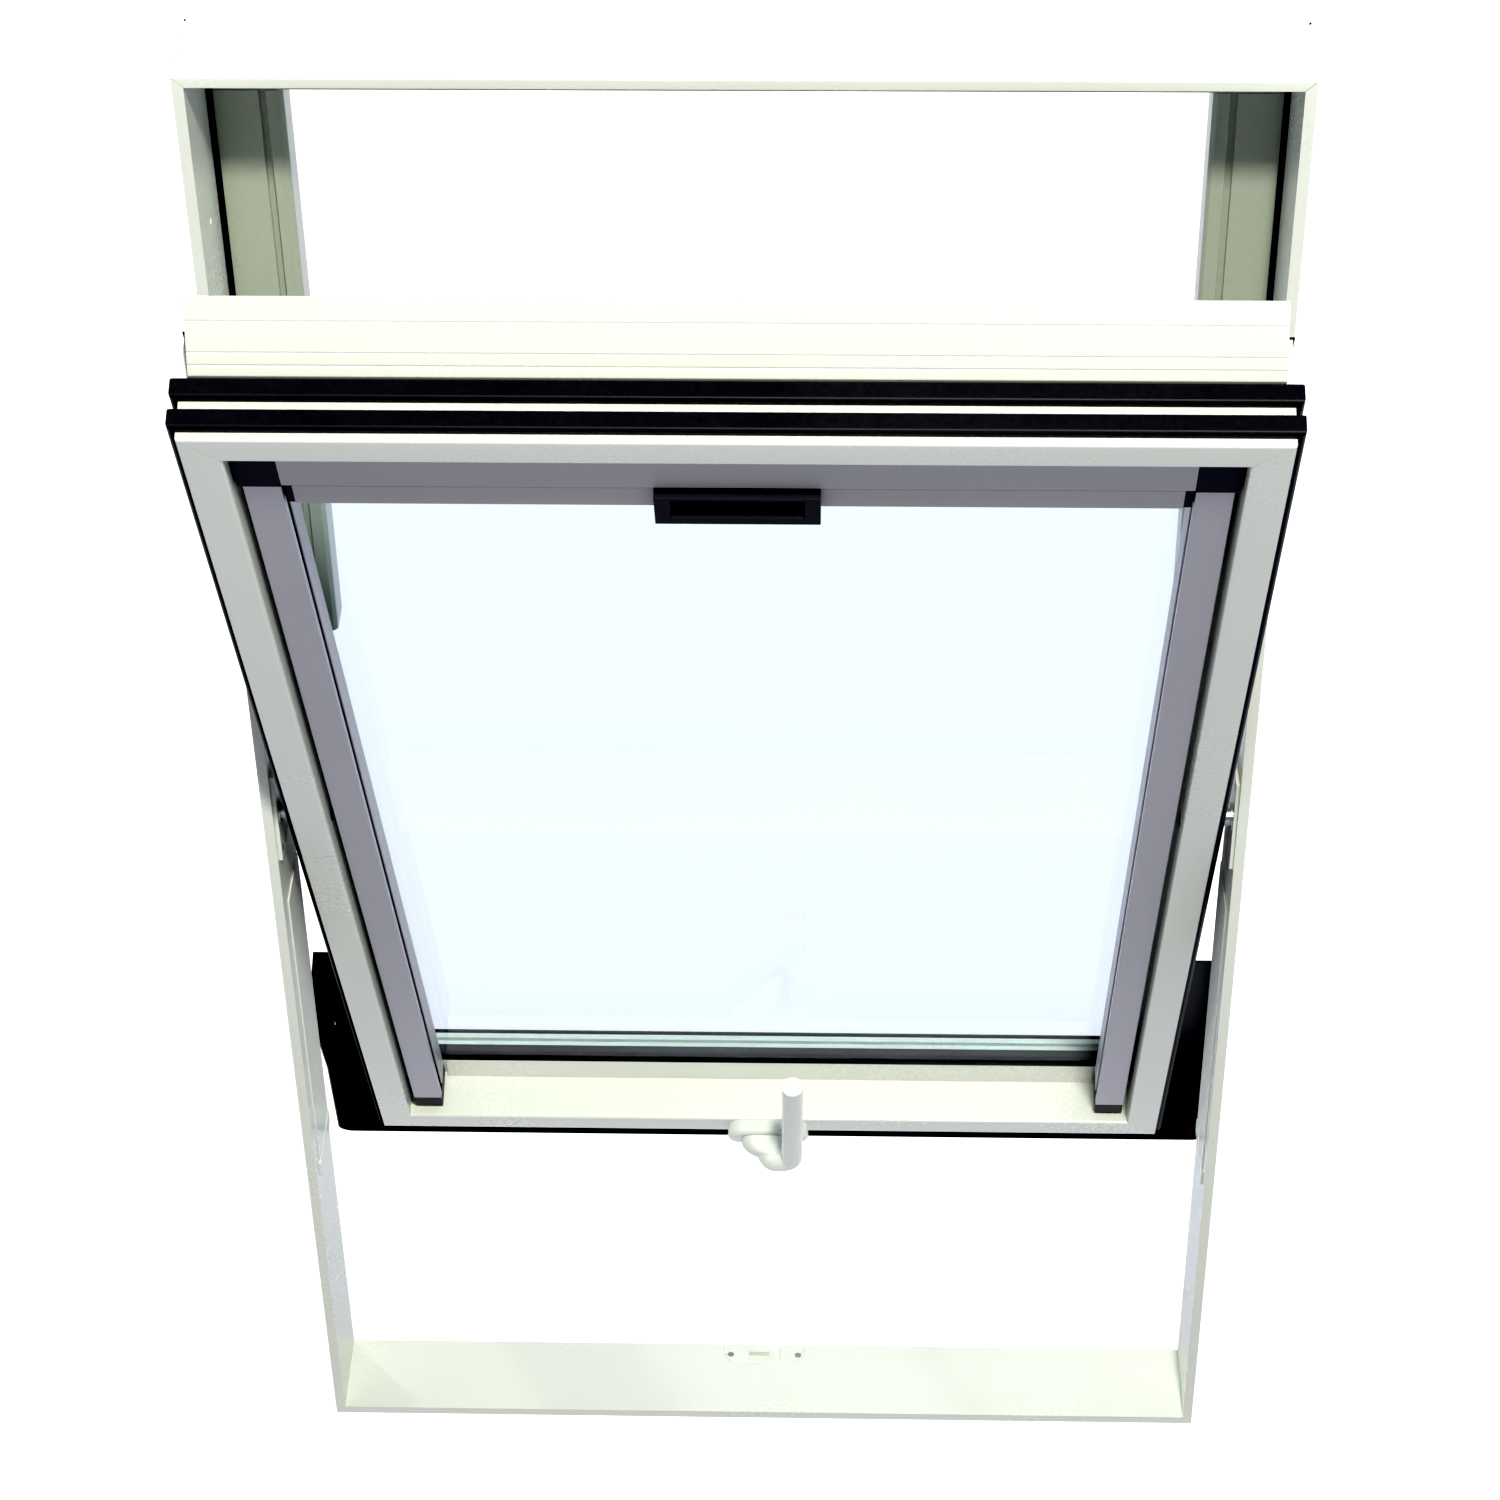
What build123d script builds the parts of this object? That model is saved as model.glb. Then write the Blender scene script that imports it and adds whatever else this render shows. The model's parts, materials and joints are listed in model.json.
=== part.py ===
from build123d import *
import math
import os

# Centre-pivot roof window with a roller blind, stored with the sash swung open.
# Frame axes: X across, Y outwards (the room is at -Y), Z up the frame.
# Origin: centre of the underside of the bottom frame rail.

# --- driving dimensions, mm ---
FRAME_W = 780.0
FRAME_H = 1400.0
FRAME_DEPTH = 80.0
LIP = 8.3                      # thickness of the frame's visible front edge
FRONT_Y = -FRAME_DEPTH / 2
FRAME_MID_Z = FRAME_H / 2

PIVOT_DEPTH = 20.0             # pivot axis behind the frame's front edge
PIVOT_RISE = 20.0              # pivot axis above the middle of the frame
OPEN_ANGLE = 23.65             # how far the stored sash is swung open, degrees

SASH_W = 730.4                 # front face of the sash
SASH_H = 1284.4
SASH_PROUD = 2.8               # closed sash stands this far into the room
SASH_DROP = 5.7                # closed sash centre below the frame centre
SASH_DEPTH = 82.0
FACE = 27.8                    # visible width of the sash's front face
FLANK = 0.6                    # side of the sash, outside its front face
GASKET_OUT = 6.4               # reach of the outer gaskets
GROOVE = 3.4                   # floor of the gasket grooves, inside the outline
GASKET_D = (6.2, 29.6)         # front of each outer gasket
GASKET_LENGTH = 16.1
PROFILE_D = 46.0               # the head and foot profiles start behind the gaskets

REVEAL = 45.6                  # from the front face down to the glazing bead, beside the blind
REVEAL_FOOT = 41.0             # the same, along the foot
BEAD_IN = 46.0                 # inner edge of the bead, from the sash outline
GLASS_IN = 40.0                # edge of the glass, from the sash outline
PANE = 4.0
GLASS_D = 52.0                 # room side of the inner pane
CAVITY = 10.0

STOP_IN = 62.0                 # inner edge of the upper stop, from the frame outline
STOP_FACE = 82.0               # depth of the face that the closed sash meets
STOP_BACK = 112.0
STOP_LOW = 155.0               # lower end of the side stops, above the frame's middle

SKIRT_X = 412.0                # outside of the lower side cladding
SKIRT_DROP = 730.0             # underside of the lower cladding, below the sash centre
SKIRT_FRONT = 27.0
SKIRT_BACK = 85.7
SKIRT_TOP = -420.0
OVER_JAMB_TOP = -130.0         # up to here the cladding reaches over the back of the jamb
END_CAP_TOP = -563.0           # the moulded end caps start here and flare outwards
END_CAP_X = 420.5
END_CAP_R = 14.0
SHEET = 1.5

BLIND_HALF = 336.0             # outer end of the headbox's caps
CHANNEL_OUT = 332.5            # blind channel, outer and inner faces
CHANNEL_IN = 306.7
BLIND_BACK = 45.2              # the blind stands just clear of the glazing bead
CHANNEL_D = (10.0, BLIND_BACK)
CHANNEL_H = (-591.0, 567.5)
HEADBOX_H = (568.0, 613.6)
BAR_H = (537.0, 566.5)
BAR_D = (12.0, 25.0)
GRIP_HALF = 56.0
ROLLER_D = 26.6
ROLLER_H = 592.0

HANDLE_H = -628.0              # spindle height, from the sash centre
LEVER_R = 9.6
LATCH_D = 26.1                 # depth of the latch bar in the sash
BAR_TRAVEL = 18.0              # latch bar travel for a quarter turn of the handle
PIN_X = 9.0                    # latch pin in the keeper's slot, from the middle and from the front
PIN_Y = 66.0
PIN_SLOT = 10.0
POCKET = 2.0
KEEPER_W = 74.0
KEEPER_FRONT = 56.0
KEEPER_MID_Y = 68.0
KEEPER_THICK = 3.0
KEEPER_SCREW_R = 1.4
GAP = 0.3

MITRE_REACH = 120.0
THROUGH = 400.0
SIDES = {"top": 0, "right": 90, "bottom": 180, "left": -90}

written = {}


# --- helpers ---
def box(x, y, z):
    """A block from three (low, high) pairs."""
    size = [b - a for a, b in (x, y, z)]
    middle = [(a + b) / 2 for a, b in (x, y, z)]
    return Pos(*middle) * Box(*size)


def rod(radius, start, end):
    """A round bar between two points."""
    a, b = Vector(*start), Vector(*end)
    plane = Plane(origin=a, z_dir=(b - a).normalized())
    return extrude(plane * Circle(radius), (b - a).length)


def mirrored(part):
    return mirror(part, about=Plane.YZ)


def section(points):
    return make_face(Polyline(*points, close=True))


def straight(profile, across, along):
    """A top length: (inward, depth) points of a profile, run along X."""
    outline = [(depth, across / 2 - inward) for inward, depth in profile]
    return extrude(Plane.YZ.offset(-along / 2) * section(outline), along)


def ring_length(side, width, height, profile, mitre=True):
    """One length of a profile that runs round a rectangle, cut to 45 degrees at both ends."""
    across, along = (height, width) if side in ("top", "bottom") else (width, height)
    run = along + (2 * MITRE_REACH if mitre else 0)
    part = straight(profile, across, run)
    if mitre:
        far, near = MITRE_REACH, -MITRE_REACH
        corners = [
            (-along / 2 - far, across / 2 + far),
            (along / 2 + far, across / 2 + far),
            (along / 2 + near, across / 2 + near),
            (-along / 2 - near, across / 2 + near),
        ]
        part &= extrude(Plane.XZ * section(corners), THROUGH, both=True)
    return Rot(0, SIDES[side], 0) * part


def ring(width, height, profile):
    return [ring_length(side, width, height, profile) for side in SIDES]


def clip_z(part, low, high):
    return part & box((-THROUGH * 2, THROUGH * 2), (-THROUGH, THROUGH), (low, high))


def solids_of(*parts):
    """One compound of separate solids."""
    found = []
    for part in parts:
        found += list(part.solids())
    return found[0] if len(found) == 1 else Compound(children=found)


def write(name, part):
    written[name] = part
    export_step(part, f"parts/{name}.step")


def frame_piece(name, *parts):
    write(name, Pos(0, FRONT_Y, FRAME_MID_Z) * solids_of(*parts))


def sash_piece(name, *parts):
    """Sash pieces are drawn closed, about the sash centre, and then swung open."""
    hang = Pos(0, FRONT_Y + PIVOT_DEPTH, FRAME_MID_Z + PIVOT_RISE) * Rot(OPEN_ANGLE, 0, 0)
    closed = Pos(0, -SASH_PROUD - PIVOT_DEPTH, -SASH_DROP - PIVOT_RISE)
    write(name, hang * closed * solids_of(*parts))


# Pivot axis seen from the sash centre, when closed.
PIVOT_D = PIVOT_DEPTH + SASH_PROUD
PIVOT_H = PIVOT_RISE + SASH_DROP
PIN_R = 8.0
BUSH_R = 10.0
HINGE_D = 12.4                 # the hinge on the sash starts behind the gasket's front lip
FIT = 0.1                      # clearance round a bush or a screw


# --- fixed frame ---
def frame_rails():
    lip = [(0, 0), (LIP, 0), (LIP, FRAME_DEPTH), (0, FRAME_DEPTH)]
    fixing_r = 2.75
    fixing_z = 560.0
    for side in SIDES:
        rail = ring_length(side, FRAME_W, FRAME_H, lip)
        if side in ("left", "right"):
            for z in (-fixing_z, fixing_z):
                hole = rod(fixing_r, (-THROUGH, FRAME_DEPTH / 2, z), (THROUGH, FRAME_DEPTH / 2, z))
                rail -= hole
            frame_piece(f"frame_jamb_{side}", rail)
        else:
            if side == "bottom":
                top = -FRAME_H / 2 + LIP
                rail -= keeper_outline(FIT)
                rail -= keeper_slot(top - KEEPER_THICK - POCKET, top)
                for x, y in keeper_screw_places():
                    rail -= rod(KEEPER_SCREW_R + FIT, (x, y, top - 6 - FIT), (x, y, top))
            frame_piece(f"frame_rail_{side}", rail)


def upper_stops():
    """Shoulders behind the upper half of the frame, which the closed sash meets."""
    groove_a, groove_b, groove_floor = 44.5, 49.5, 86.0
    edge = 59.0
    profile = [
        (0, FRAME_DEPTH + 0.2), (12, FRAME_DEPTH + 0.2), (12, STOP_FACE),
        (groove_a, STOP_FACE), (groove_a, groove_floor), (groove_b, groove_floor),
        (groove_b, STOP_FACE), (edge, STOP_FACE), (STOP_IN, STOP_FACE + 3),
        (STOP_IN, STOP_BACK), (0, STOP_BACK),
    ]
    top_in = 58.0
    slope = 26.0
    top = [
        (4, FRAME_DEPTH + 0.2), (12, FRAME_DEPTH + 0.2), (12, STOP_FACE),
        (top_in, STOP_FACE), (top_in, STOP_BACK), (slope, STOP_BACK),
    ]
    head = straight(top, FRAME_H, FRAME_W)
    frame_piece("upper_stop_top", head)
    stop_top = FRAME_H / 2 - top_in - GAP
    for side in ("left", "right"):
        leg = ring_length(side, FRAME_W, FRAME_H, profile, mitre=False)
        frame_piece(f"upper_stop_{side}", clip_z(leg, STOP_LOW, stop_top))


def stop_gaskets():
    """Black bulb seal in the corner between the frame wall and the stop."""
    seal = [(LIP, 75), (10.5, 76), (12.6, 79), (12.6, 80), (LIP, 80)]
    parts = []
    for side in ("left", "right"):
        leg = ring_length(side, FRAME_W, FRAME_H, seal, mitre=False)
        parts.append(clip_z(leg, STOP_LOW, FRAME_H / 2 - 15))
    head = ring_length("top", FRAME_W - 30, FRAME_H, seal, mitre=False)
    frame_piece("stop_gasket", *parts, head)


def jamb_covers():
    """Lining strips that hide the hinge fixings below the pivot, with end clips."""
    strip = [(LIP, 18), (LIP + 1.2, 18.6), (LIP + 1.2, 77.4), (LIP, 78)]
    clip = [(LIP, 14), (LIP + 1.8, 14.8), (LIP + 1.8, 79), (LIP, 79.8)]
    strip_low, strip_high = -385.0, -80.0
    strips, clips = [], []
    for side in ("left", "right"):
        length = ring_length(side, FRAME_W, FRAME_H, strip, mitre=False)
        strips.append(clip_z(length, strip_low, strip_high))
        end = ring_length(side, FRAME_W, FRAME_H, clip, mitre=False)
        clips.append(clip_z(end, strip_low - 14, strip_low))
    frame_piece("jamb_cover_strips", *strips)
    frame_piece("jamb_cover_end_clips", *clips)


def outer_covers():
    """Dark aluminium covers over the outside of the upper half."""
    back = STOP_BACK + GAP
    side_profile = [
        (-GAP, 62), (-GAP, back), (50, back), (50, back + SHEET),
        (-GAP - SHEET, back + SHEET), (-GAP - SHEET, 62),
    ]
    covers = []
    for side in ("left", "right"):
        cover = ring_length(side, FRAME_W, FRAME_H, side_profile, mitre=False)
        covers.append(clip_z(cover, STOP_LOW, FRAME_H / 2 - 62))
    frame_piece("side_covers", *covers)
    hood = [
        (2.2, 80.3), (24.6, back), (56, back), (56, back + SHEET),
        (23.6, back + SHEET), (0.6, 80.3),
    ]
    frame_piece("top_hood", straight(hood, FRAME_H, FRAME_W + 2 * (GAP + SHEET)))


def hinge_frame_side():
    """Steel plate and pin on each jamb."""
    plate_x = (378.9, FRAME_W / 2 - LIP)
    z = PIVOT_RISE
    plate = box(plate_x, (6, 46), (z - 44, z + 44))
    pin = rod(PIN_R, (350, PIVOT_DEPTH, z), (plate_x[0], PIVOT_DEPTH, z))
    pin += rod(PIN_R + 3, (plate_x[0] - 1.2, PIVOT_DEPTH, z), (plate_x[0], PIVOT_DEPTH, z))
    screws = []
    for y in (13, 39):
        for dz in (-36, 36):
            hole = rod(2.2, (plate_x[0], y, z + dz), (plate_x[1], y, z + dz))
            head = rod(3.6, (plate_x[0] - 0.1, y, z + dz), (plate_x[0] + 1.2, y, z + dz))
            plate -= hole + head
            screws.append(hole + rod(3.6, (plate_x[0], y, z + dz), (plate_x[0] + 1.2, y, z + dz)))
    frame_piece("hinge_plates", plate, mirrored(plate))
    frame_piece("hinge_pins", pin, mirrored(pin))
    frame_piece("hinge_plate_screws", *screws, *[mirrored(s) for s in screws])


def keeper_screw_places():
    return [(x, KEEPER_MID_Y) for x in (-31, 31)]


def keeper_slot(low, high):
    """L-shaped way for the latch pin: in from the back of the rail, then along to the left."""
    half = PIN_SLOT / 2
    mouth = box((-half, half), (PIN_Y - half, FRAME_DEPTH + 1), (low, high))
    lock = box((-BAR_TRAVEL - half, half), (PIN_Y - half, PIN_Y + half), (low, high))
    return Pos(PIN_X, 0, 0) * (mouth + lock)


def keeper_outline(grow):
    """Half-oval plate that lies flush in the bottom rail and runs out to its back edge."""
    top = -FRAME_H / 2 + LIP
    width = KEEPER_W + 2 * grow
    deep = FRAME_DEPTH - KEEPER_FRONT + grow
    plate = box((-width / 2, width / 2), (FRAME_DEPTH - deep, FRAME_DEPTH), (top - KEEPER_THICK, top + grow))
    return fillet(plate.edges().filter_by(Axis.Z).group_by(Axis.Y)[0], 16.0)


def keepers():
    """Flush plate in the bottom rail whose slot catches the latch pin."""
    top = -FRAME_H / 2 + LIP
    plate = keeper_outline(0) - keeper_slot(top - KEEPER_THICK - 1, top + 1)
    screws = []
    for x, y in keeper_screw_places():
        shank = rod(KEEPER_SCREW_R, (x, y, top - 6), (x, y, top))
        head = rod(2.8, (x, y, top - 1.2), (x, y, top))
        plate -= rod(KEEPER_SCREW_R + FIT, (x, y, top - 7), (x, y, top + 1))
        plate -= rod(2.8 + FIT, (x, y, top - 1.2 - FIT), (x, y, top + 1))
        screws.append(shank + head)
    frame_piece("latch_keeper", plate)
    frame_piece("keeper_screws", *screws)


# --- sash ---
def rail_profile():
    """Sash section, (inward, depth): rounded front edges, two grooves, a glazing rebate."""
    out, ease, edge = -FLANK, 3.0, 1.5
    grooves = []
    for front in reversed(GASKET_D):
        low, high = front + 4.8, front + 8.8
        grooves += [(out, high), (GROOVE, high), (GROOVE, low), (out, low)]
    return [
        (edge, 0), (FACE - ease, 0), (FACE - ease * 0.3, ease * 0.3), (FACE, ease), (FACE, 49),
        (37, 49), (37, 77), (44, 77), (44, SASH_DEPTH), (out, SASH_DEPTH), *grooves,
        (out, edge + 0.3), (0, 0.5),
    ]


CHAMBER = [(5.6, 3.5), (FACE - 3, 3.5), (FACE - 3, 46), (5.6, 46)]
REAR_CHAMBER = [(2.4, 50), (33, 50), (33, 78), (2.4, 78)]


def sash_rails():
    for side in SIDES:
        rail = ring_length(side, SASH_W, SASH_H, rail_profile())
        rail -= ring_length(side, SASH_W, SASH_H, CHAMBER)
        rail -= ring_length(side, SASH_W, SASH_H, REAR_CHAMBER)
        if side in ("left", "right"):
            for sign in (-1, 1):
                rail -= rod(BUSH_R, (sign * 300, PIVOT_D, PIVOT_H), (sign * 380, PIVOT_D, PIVOT_H))
            sash_piece(f"sash_stile_{side}", rail)
        elif side == "top":
            sash_piece("sash_rail_top", rail)
        else:
            rail -= rod(6.0, (0, -1, HANDLE_H), (0, 5, HANDLE_H))
            slot_d = (LATCH_D - 4.2, LATCH_D + 4.2)
            rail -= box((-32, 32), slot_d, (-SASH_H / 2 - FLANK - 1, -SASH_H / 2 + 6.2))
            sash_piece("sash_rail_bottom", rail)


def reinforcements():
    """Galvanised channels in the rear chamber of the sash."""
    steel = [
        (3.4, 51), (32, 51), (32, 77), (30.4, 77), (30.4, 52.6), (5, 52.6), (5, 77), (3.4, 77),
    ]
    cut = 60.0
    parts = []
    for side in SIDES:
        length = ring_length(side, SASH_W - cut, SASH_H - cut, steel, mitre=False)
        shift = cut / 2
        parts.append(move_out(length, side, shift))
    sash_piece("sash_steel_reinforcements", *parts)


def move_out(part, side, shift):
    offset = {"top": (0, 0, shift), "bottom": (0, 0, -shift), "left": (-shift, 0, 0), "right": (shift, 0, 0)}
    return Pos(*offset[side]) * part


def outer_profiles():
    """Stepped profiles that close the gap at the head and the foot of the sash."""
    out = -FLANK
    near, far = (-GASKET_OUT, PROFILE_D), (-48.0, SASH_DEPTH)
    run, rise = far[0] - near[0], far[1] - near[1]
    head = [(out, PROFILE_D), near]
    for share in (0.128, 0.287, 0.677):
        for step, sunk in ((-0.016, 0), (0.0, 1.0), (0.016, 0)):
            at = share + step
            head.append((near[0] + run * at + sunk * 0.67, near[1] + rise * at + sunk * 0.74))
    head += [far, (out, SASH_DEPTH)]
    foot = [(out, PROFILE_D), (-38, 51), (-38, SASH_DEPTH), (out, SASH_DEPTH)]
    length = SASH_W + 2 * FLANK
    head_length = SASH_W - 10
    top = ring_length("top", head_length, SASH_H, head, mitre=False)
    bottom = ring_length("bottom", length, SASH_H, foot, mitre=False)
    head_room = [(-8, 53), (-34, 76), (-34, 79), (-8, 79)]
    foot_room = [(-8, 50), (-35, 54), (-35, 79), (-8, 79)]
    sash_piece("sash_head_profile", top - hollow("top", head_length, head_room))
    sash_piece("sash_foot_profile", bottom - hollow("bottom", length, foot_room))


def hollow(side, length, profile):
    return ring_length(side, length - 8, SASH_H, profile, mitre=False)


def outer_gaskets():
    """Two black gaskets round the sash, cut away behind their front lip at the hinges."""
    out, tip = -FLANK, -GASKET_OUT
    root = GROOVE - 0.2
    shapes = {}
    for name, front in zip(("gasket_front", "gasket_rear"), GASKET_D):
        shapes[name] = [(inward, front + depth) for inward, depth in (
            (out, 0), (tip + 1.8, 0), (tip, 2.4), (tip, GASKET_LENGTH - 1.8),
            (tip + 2.3, GASKET_LENGTH), (out, GASKET_LENGTH),
            (out, 8.7), (root, 8.7), (root, 4.9), (out, 4.9),
        )]
    hinge_gap = box((-THROUGH, THROUGH), (HINGE_D, THROUGH), (PIVOT_H - 32, PIVOT_H + 32))
    for name, profile in shapes.items():
        parts = []
        for side in SIDES:
            length = ring_length(side, SASH_W, SASH_H, profile)
            if side in ("left", "right"):
                length -= hinge_gap
            parts.append(length)
        sash_piece(name, *parts)


def glazing():
    bead = [
        (FACE + 0.2, REVEAL), (BEAD_IN, 50), (BEAD_IN, 51.8),
        (37.3, 51.8), (37.3, 48.8), (FACE + 0.2, 48.8),
    ]
    beads = ring(SASH_W, SASH_H, bead)
    between = box((-CHANNEL_IN + 2, CHANNEL_IN - 2), (0, THROUGH), (-SASH_H, 0))
    steep = [
        (FACE + 0.2, REVEAL_FOOT), (BEAD_IN, 50.6), (BEAD_IN, 51.8),
        (37.3, 51.8), (37.3, 48.8), (FACE + 0.2, 48.8),
    ]
    foot = ring_length("bottom", SASH_W, SASH_H, steep) & between
    beads[2] = (beads[2] - between) + foot
    sash_piece("glazing_beads", *beads)
    seal = [(BEAD_IN, 50.2), (51, 51), (51, 51.9), (BEAD_IN, 51.9)]
    sash_piece("glazing_gasket", *ring(SASH_W, SASH_H, seal))
    half_w, half_h = SASH_W / 2 - GLASS_IN, SASH_H / 2 - GLASS_IN
    front, back = GLASS_D, GLASS_D + PANE + CAVITY
    inner = box((-half_w, half_w), (front, front + PANE), (-half_h, half_h))
    outer = box((-half_w, half_w), (back, back + PANE), (-half_h, half_h))
    sash_piece("inner_pane", inner)
    sash_piece("outer_pane", outer)
    seal_in, bar_in = GLASS_IN + 4.5, GLASS_IN + 10.8
    cavity = (front + PANE, back)
    edge = [(GLASS_IN, cavity[0]), (seal_in, cavity[0]), (seal_in, cavity[1]), (GLASS_IN, cavity[1])]
    spacer = [(seal_in, cavity[0]), (bar_in, cavity[0]), (bar_in, cavity[1]), (seal_in, cavity[1])]
    sash_piece("edge_seal", *ring(SASH_W, SASH_H, edge))
    sash_piece("spacer_bar", *ring(SASH_W, SASH_H, spacer))
    blocks = []
    for x in (-220, 220):
        for sign in (-1, 1):
            z = sorted((sign * half_h, sign * (half_h + 3)))
            blocks.append(box((x - 30, x + 30), (front + 1, back + 3), z))
    sash_piece("setting_blocks", *blocks)


def upper_cladding():
    """Thin aluminium covers on the outside of the sash's upper half."""
    sheet = [(-2, SASH_DEPTH), (44, SASH_DEPTH), (44, SASH_DEPTH + 1), (-2, SASH_DEPTH + 1)]
    low = 60.0
    legs = [clip_z(ring_length(side, SASH_W, SASH_H, sheet), low, SASH_H) for side in ("left", "right")]
    sash_piece("upper_cladding", *legs, ring_length("top", SASH_W, SASH_H, sheet))


def lower_cladding():
    """Dark aluminium that wraps round the outside of the frame when the sash is closed."""
    side_out = SASH_W / 2 - SKIRT_X
    foot_out = SASH_H / 2 - SKIRT_DROP
    back = SKIRT_BACK
    plate = back - SHEET
    flanges = [
        (0, plate), (0, SASH_DEPTH), (2, SASH_DEPTH), (2, plate), (40, plate),
        (40, SASH_DEPTH), (44, SASH_DEPTH), (44, back),
    ]

    def wrap(out):
        return [(out, SKIRT_FRONT), (out + SHEET, SKIRT_FRONT), (out + SHEET, plate), *flanges, (out, back)]

    low = -SASH_H / 2 + 44
    above_cap = box((SKIRT_X - SHEET - 1, SKIRT_X + 5), (SKIRT_FRONT - 1, plate), (low - 1, END_CAP_TOP))
    for side in ("left", "right"):
        wide = ring_length(side, SASH_W, SASH_H, wrap(side_out), mitre=False)
        wide = clip_z(wide, low, SKIRT_TOP) - (mirrored(above_cap) if side == "left" else above_cap)
        slim = ring_length(side, SASH_W, SASH_H, [*flanges, (0, back)], mitre=False)
        over = ring_length(side, SASH_W, SASH_H, [(-20, plate), *flanges, (-20, back)], mitre=False)
        upper = clip_z(over, SKIRT_TOP, OVER_JAMB_TOP) + clip_z(slim, OVER_JAMB_TOP, 20)
        sash_piece(f"lower_cladding_{side}", wide + upper)
    apron = ring_length("bottom", 2 * END_CAP_X, SASH_H, wrap(foot_out), mitre=False)
    end_x = END_CAP_X - END_CAP_R - 2
    trim = box((end_x, END_CAP_X + 1), (0, plate), (-SKIRT_DROP - 5, low + 1))
    apron -= trim + mirrored(trim)
    clear_of_jamb = box((SKIRT_X - 32, end_x + 1), (SASH_DEPTH - 1, plate), (-SASH_H / 2 - 8, low + 2))
    apron -= clear_of_jamb + mirrored(clear_of_jamb)
    edge = end_cap_outline(0)
    for part in (edge, mirrored(edge)):
        beyond = box((0, 500), (plate - 1, back + 1), (-SKIRT_DROP - 5, low + 5))
        beyond = mirrored(beyond) if part is not edge else beyond
        apron -= beyond - part
    sash_piece("lower_cladding_bottom", apron)
    shell = edge - end_cap_outline(SHEET)
    bend = shell & box((end_x, END_CAP_X + 1), (SKIRT_FRONT, plate - GAP), (-SKIRT_DROP - 1, END_CAP_TOP))
    sash_piece("cladding_corners", bend, mirrored(bend))


def end_cap_outline(inset):
    """A block with the outline of the lower right end of the cladding, rounded at its corner."""
    top = END_CAP_TOP + 2
    points = [
        (-1, top), (SKIRT_X - inset, top),
        (END_CAP_X - inset, -SKIRT_DROP + inset), (-1, -SKIRT_DROP + inset),
    ]
    plane = Plane((0, SKIRT_FRONT - 1, 0), x_dir=(1, 0, 0), z_dir=(0, -1, 0))
    block = extrude(plane * section(points), -(SKIRT_BACK + 2 - SKIRT_FRONT))
    corner = block.edges().filter_by(Axis.Y).group_by(Axis.X)[-1]
    return fillet(corner, END_CAP_R - inset)


def hinge_sash_side():
    """Bush and plate in each stile, which turn on the pin."""
    flank = SASH_W / 2 + FLANK
    plate = box((flank, flank + 3), (HINGE_D + 0.2, 44), (PIVOT_H - 30, PIVOT_H + 30))
    plate -= rod(BUSH_R + FIT, (flank - 1, PIVOT_D, PIVOT_H), (flank + 4, PIVOT_D, PIVOT_H))
    bush = rod(BUSH_R, (348, PIVOT_D, PIVOT_H), (flank + 3, PIVOT_D, PIVOT_H))
    bush -= rod(PIN_R + 0.05, (347, PIVOT_D, PIVOT_H), (flank + 4, PIVOT_D, PIVOT_H))
    screws = []
    for d in (17, 39):
        for dz in (-22, 22):
            z = PIVOT_H + dz
            shank = rod(2.0, (flank, d, z), (flank + 3, d, z))
            head = rod(3.4, (flank + 1.8, d, z), (flank + 3, d, z))
            plate -= shank + head
            screws.append(shank + head)
    sash_piece("sash_hinge_plates", plate, mirrored(plate))
    sash_piece("hinge_bushes", bush, mirrored(bush))
    sash_piece("sash_hinge_screws", *screws, *[mirrored(s) for s in screws])


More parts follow.
